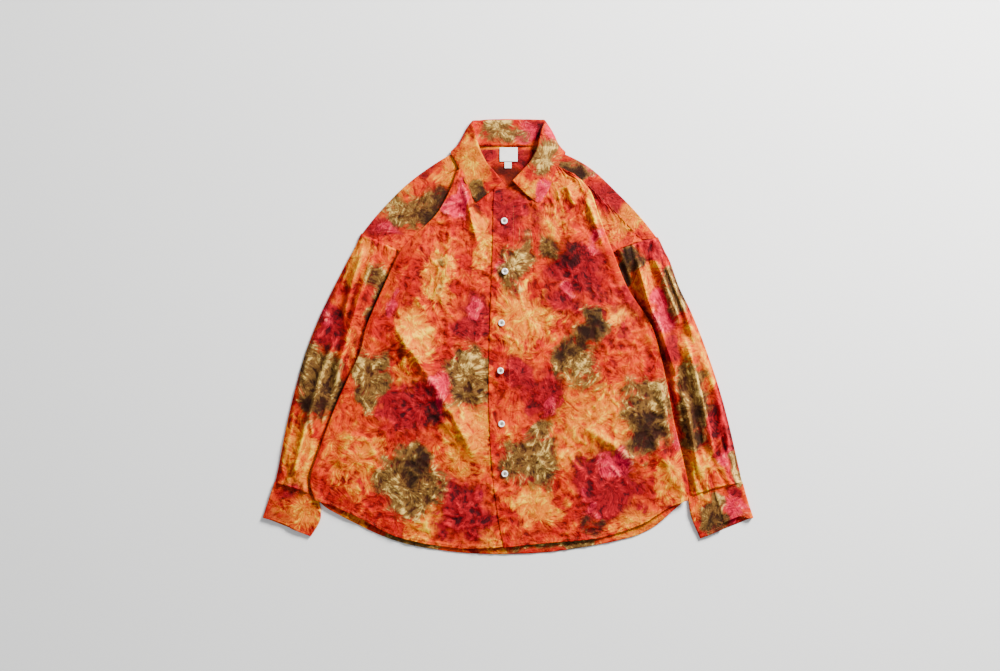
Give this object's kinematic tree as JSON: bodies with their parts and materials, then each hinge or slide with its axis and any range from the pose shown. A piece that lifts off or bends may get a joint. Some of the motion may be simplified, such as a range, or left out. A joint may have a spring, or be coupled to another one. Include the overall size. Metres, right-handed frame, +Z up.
{
  "type": "long-sleeved batik shirt laid flat",
  "caption": "Loose long-sleeved cotton shirt in crumple-dyed batik, buttoned and laid flat on its back, with pointed collar, gathered sleeves and curved hem.",
  "frame": {"origin": "middle of the outline, on the surface that the shirt lies on", "axes": "+X towards the wearer's left cuff, +Y from hem to collar, +Z up out of the fronts"},
  "size_m": [0.906, 0.804, 0.0179],
  "materials": {
    "dyed_cotton": "thin crumpled cotton lawn, hand dyed in oranges, reds, pinks and olive, faint sheen",
    "label_tape": "white woven satin tape, bare",
    "pearl_button": "polished pearl shell look"
  },
  "bodies": {
    "root": {"back": "dyed_cotton", "back_yoke": "dyed_cotton", "front_right": "dyed_cotton", "front_left": "dyed_cotton", "sleeve_right": "dyed_cotton", "sleeve_left": "dyed_cotton", "cuff_right": "dyed_cotton", "cuff_left": "dyed_cotton", "collar": "dyed_cotton", "neck_label": "label_tape", "size_tab": "label_tape", "button_1": "pearl_button", "button_2": "pearl_button", "button_3": "pearl_button", "button_4": "pearl_button", "button_5": "pearl_button", "button_6": "pearl_button"}
  },
  "joints": []
}
